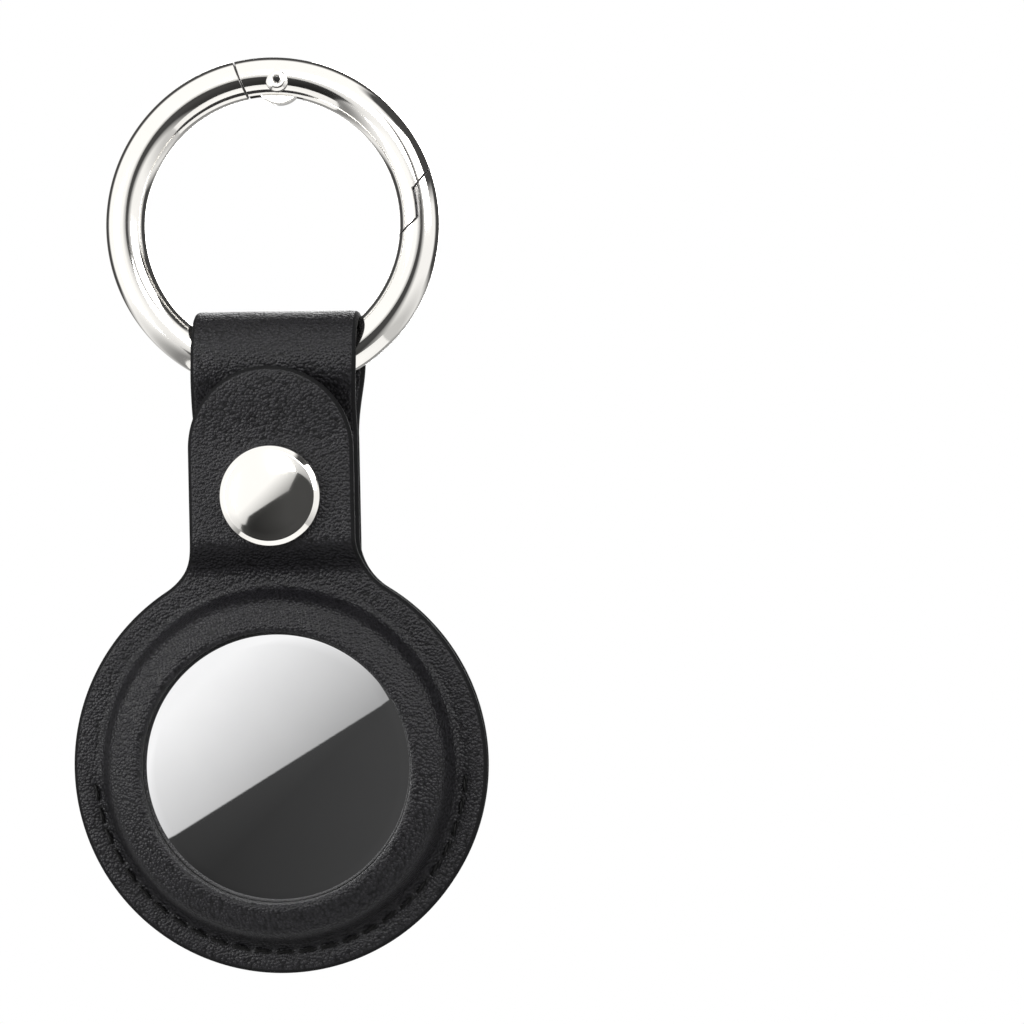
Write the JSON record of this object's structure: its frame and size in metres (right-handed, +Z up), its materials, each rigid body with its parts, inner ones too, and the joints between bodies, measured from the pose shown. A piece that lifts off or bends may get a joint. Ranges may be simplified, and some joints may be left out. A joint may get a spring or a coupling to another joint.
{
  "type": "tracker tag holder",
  "caption": "Black leather holder that shows a round tracker tag through a window on each face, closed by a snap tongue and hung from a spring-gate ring.",
  "frame": {"origin": "centre of the ring's eye, in the plane of the ring", "axes": "+Z up from the leather towards the ring, -Y out of the front with the snap tongue and steel tag face, X across the strap"},
  "size_m": [0.0408, 0.0117, 0.0902],
  "materials": {
    "ring_nickel": "polished nickel plate",
    "snap_nickel": "polished nickel plate",
    "spring_steel": "plain drawn wire",
    "leather_black": "fine pebbled grain, low sheen",
    "lining_black": "short soft nap",
    "thread_black": "twisted, waxed",
    "tag_white": "smooth moulded",
    "tag_steel": "mirror polished stainless steel",
    "seal_rubber": "matte",
    "battery_steel": "plain can",
    "tray_plastic": "moulded",
    "contact_gold": "gold flash",
    "board_green": "solder mask",
    "chip_black": "moulded package",
    "magnet_steel": "nickel flash",
    "coil_copper": "enamelled copper wire"
  },
  "bodies": {
    "ring": {"ring_body": "ring_nickel"},
    "gate": {"ring_gate": "ring_nickel", "gate_pin": "ring_nickel", "gate_spring": "spring_steel"},
    "case": {"rear_panel": "leather_black", "front_panel": "leather_black", "rear_lining": "lining_black", "front_lining": "lining_black", "seam_thread": "thread_black", "strap_thread": "thread_black", "snap_stud": "snap_nickel", "snap_rear_cap": "snap_nickel"},
    "flap": {"front_tongue": "leather_black", "snap_front_cap": "snap_nickel", "snap_socket": "snap_nickel", "snap_spring": "spring_steel"},
    "tag": {"tag_white_cover": "tag_white", "tag_seal": "seal_rubber", "tag_battery": "battery_steel", "tag_tray": "tray_plastic", "tag_contacts": "contact_gold", "tag_circuit_board": "board_green", "tag_chips": "chip_black", "tag_speaker_magnet": "magnet_steel", "tag_speaker_coil": "coil_copper"},
    "tag_lid": {"tag_steel_cover": "tag_steel"}
  },
  "joints": [
    {"name": "ring_swing", "type": "hinge", "parent": "ring", "child": "case", "pos_m": [0, 0, -0.01343], "axis": [1, 0, 0], "range_deg": [-120, 120]},
    {"name": "gate_hinge", "type": "hinge", "parent": "ring", "child": "gate", "pos_m": [0.00099, 0, 0.0141], "axis": [0, 1, 0], "range_deg": [0, 32], "stiffness_Nm_per_rad": 0.02, "springref_deg": -17.19, "deforming": ["gate_spring"]},
    {"name": "flap_hinge", "type": "hinge", "parent": "case", "child": "flap", "pos_m": [0, -0.00235, -0.035], "axis": [1, 0, 0], "range_deg": [0, 75], "deforming": ["snap_spring"]},
    {"name": "tag_spin", "type": "hinge", "parent": "case", "child": "tag", "pos_m": [0, -0.0015, -0.0533], "axis": [0, 1, 0], "continuous": true},
    {"name": "cover_twist", "type": "hinge", "parent": "tag", "child": "tag_lid", "pos_m": [0, -0.0015, -0.0533], "axis": [0, -1, 0], "range_deg": [0, 20]}
  ]
}
